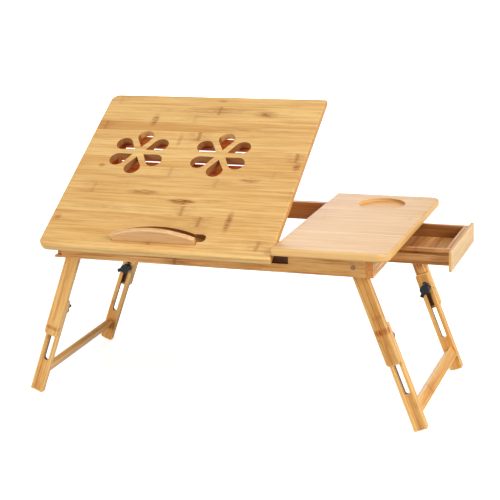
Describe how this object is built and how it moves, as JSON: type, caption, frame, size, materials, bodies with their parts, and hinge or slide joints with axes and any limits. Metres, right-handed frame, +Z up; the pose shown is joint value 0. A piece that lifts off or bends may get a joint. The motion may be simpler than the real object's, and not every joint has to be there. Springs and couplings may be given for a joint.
{
  "type": "laptop stand with drawer",
  "caption": "Folding bamboo laptop bed table with a propped tilting top, a fixed side top with cup recess, a pull-out drawer and height-adjustable folding legs.",
  "frame": {"origin": "on the floor below the middle of the whole table as it stands, with the top raised and the drawer pulled out", "axes": "+Z up, +X along the table towards the drawer, -Y towards the person who sits at it"},
  "size_m": [0.6782, 0.3562, 0.445],
  "materials": {
    "bamboo_top": "clear matt lacquer on edge-laminated bamboo",
    "bamboo_frame": "clear matt lacquer on bamboo strip",
    "bamboo_leg": "clear matt lacquer on bamboo strip",
    "bamboo_drawer": "clear matt lacquer on bamboo strip",
    "zinc_steel": "zinc plated",
    "blackened_steel": "blackened",
    "black_plastic": "moulded, slightly satin"
  },
  "bodies": {
    "base": {"front_rail": "bamboo_frame", "back_rail": "bamboo_frame", "left_side_rail": "bamboo_frame", "right_side_rail_front": "bamboo_frame", "right_side_rail_back": "bamboo_frame", "drawer_divider": "bamboo_frame", "side_top": "bamboo_top", "drawer_runner_front": "bamboo_frame", "drawer_runner_back": "bamboo_frame", "prop_rack_left": "bamboo_frame", "prop_rack_rail": "bamboo_frame", "hinge_leaves_lower": "zinc_steel", "hinge_pins": "zinc_steel", "leg_pivot_bolts": "blackened_steel"},
    "tilting_top": {"tilting_top": "bamboo_top", "hinge_leaves_upper": "zinc_steel", "prop_hinge_blocks": "bamboo_frame", "prop_hinge_pins": "zinc_steel", "stop_bar_pins": "zinc_steel"},
    "prop": {"prop_stile_left": "bamboo_frame", "prop_stile_right": "bamboo_frame", "prop_slat_1": "bamboo_frame", "prop_slat_2": "bamboo_frame", "prop_slat_3": "bamboo_frame", "prop_slat_4": "bamboo_frame"},
    "stop_bar": {"stop_bar": "bamboo_top"},
    "drawer": {"drawer_back": "bamboo_drawer", "drawer_bottom": "bamboo_drawer", "drawer_front_plate": "bamboo_drawer", "drawer_inner_front": "bamboo_drawer", "drawer_side_back": "bamboo_drawer", "drawer_side_front": "bamboo_drawer"},
    "upper_legs_left": {"upper_leg_front_left": "bamboo_leg", "upper_leg_back_left": "bamboo_leg", "leg_studs_left": "zinc_steel", "leg_washers_left": "zinc_steel"},
    "lower_legs_left": {"lower_leg_front_left": "bamboo_leg", "lower_leg_back_left": "bamboo_leg", "cross_rail_left": "bamboo_leg"},
    "wing_knob_front_left": {"wing_knob_front_left": "black_plastic"},
    "wing_knob_back_left": {"wing_knob_back_left": "black_plastic"},
    "upper_legs_right": {"upper_leg_front_right": "bamboo_leg", "upper_leg_back_right": "bamboo_leg", "leg_studs_right": "zinc_steel", "leg_washers_right": "zinc_steel"},
    "lower_legs_right": {"lower_leg_front_right": "bamboo_leg", "lower_leg_back_right": "bamboo_leg", "cross_rail_right": "bamboo_leg"},
    "wing_knob_front_right": {"wing_knob_front_right": "black_plastic"},
    "wing_knob_back_right": {"wing_knob_back_right": "black_plastic"}
  },
  "joints": [
    {"name": "top_tilt", "type": "hinge", "parent": "base", "child": "tilting_top", "pos_m": [-0.01248, -0.1483, 0.2646], "axis": [1, 0, 0], "range_deg": [-30.99, 4]},
    {"name": "prop_fold", "type": "hinge", "parent": "tilting_top", "child": "prop", "pos_m": [-0.01248, 0.06288, 0.38904], "axis": [1, 0, 0], "range_deg": [-13.4, 1.9]},
    {"name": "stop_flip", "type": "hinge", "parent": "tilting_top", "child": "stop_bar", "pos_m": [-0.09698, -0.15712, 0.27132], "axis": [-1, 0, 0], "range_deg": [0, 90]},
    {"name": "drawer_slide", "type": "slide", "parent": "base", "child": "drawer", "axis": [1, 0, 0], "range_m": [-0.09, 0.01]},
    {"name": "leg_fold_left", "type": "hinge", "parent": "base", "child": "upper_legs_left", "pos_m": [-0.23548, 0.0011, 0.2525], "axis": [0, -1, 0], "range_deg": [0, 102]},
    {"name": "leg_slide_left", "type": "slide", "parent": "upper_legs_left", "child": "lower_legs_left", "axis": [0.3518, 0, 0.9361], "range_m": [-0.0065, 0.072]},
    {"name": "knob_turn_front_left", "type": "hinge", "parent": "upper_legs_left", "child": "wing_knob_front_left", "pos_m": [-0.27823, -0.1169, 0.13877], "axis": [0, -1, 0], "continuous": true},
    {"name": "knob_turn_back_left", "type": "hinge", "parent": "upper_legs_left", "child": "wing_knob_back_left", "pos_m": [-0.27823, 0.1191, 0.13877], "axis": [0, 1, 0], "continuous": true},
    {"name": "leg_fold_right", "type": "hinge", "parent": "base", "child": "upper_legs_right", "pos_m": [0.21052, 0.0011, 0.2525], "axis": [0, 1, 0], "range_deg": [0, 102]},
    {"name": "leg_slide_right", "type": "slide", "parent": "upper_legs_right", "child": "lower_legs_right", "axis": [-0.3518, 0, 0.9361], "range_m": [-0.0065, 0.072]},
    {"name": "knob_turn_front_right", "type": "hinge", "parent": "upper_legs_right", "child": "wing_knob_front_right", "pos_m": [0.25327, -0.1169, 0.13877], "axis": [0, -1, 0], "continuous": true},
    {"name": "knob_turn_back_right", "type": "hinge", "parent": "upper_legs_right", "child": "wing_knob_back_right", "pos_m": [0.25327, 0.1191, 0.13877], "axis": [0, 1, 0], "continuous": true}
  ],
  "couplings": [
    {"joint": "prop_fold", "follows": "top_tilt", "ratio": 0.426}
  ]
}
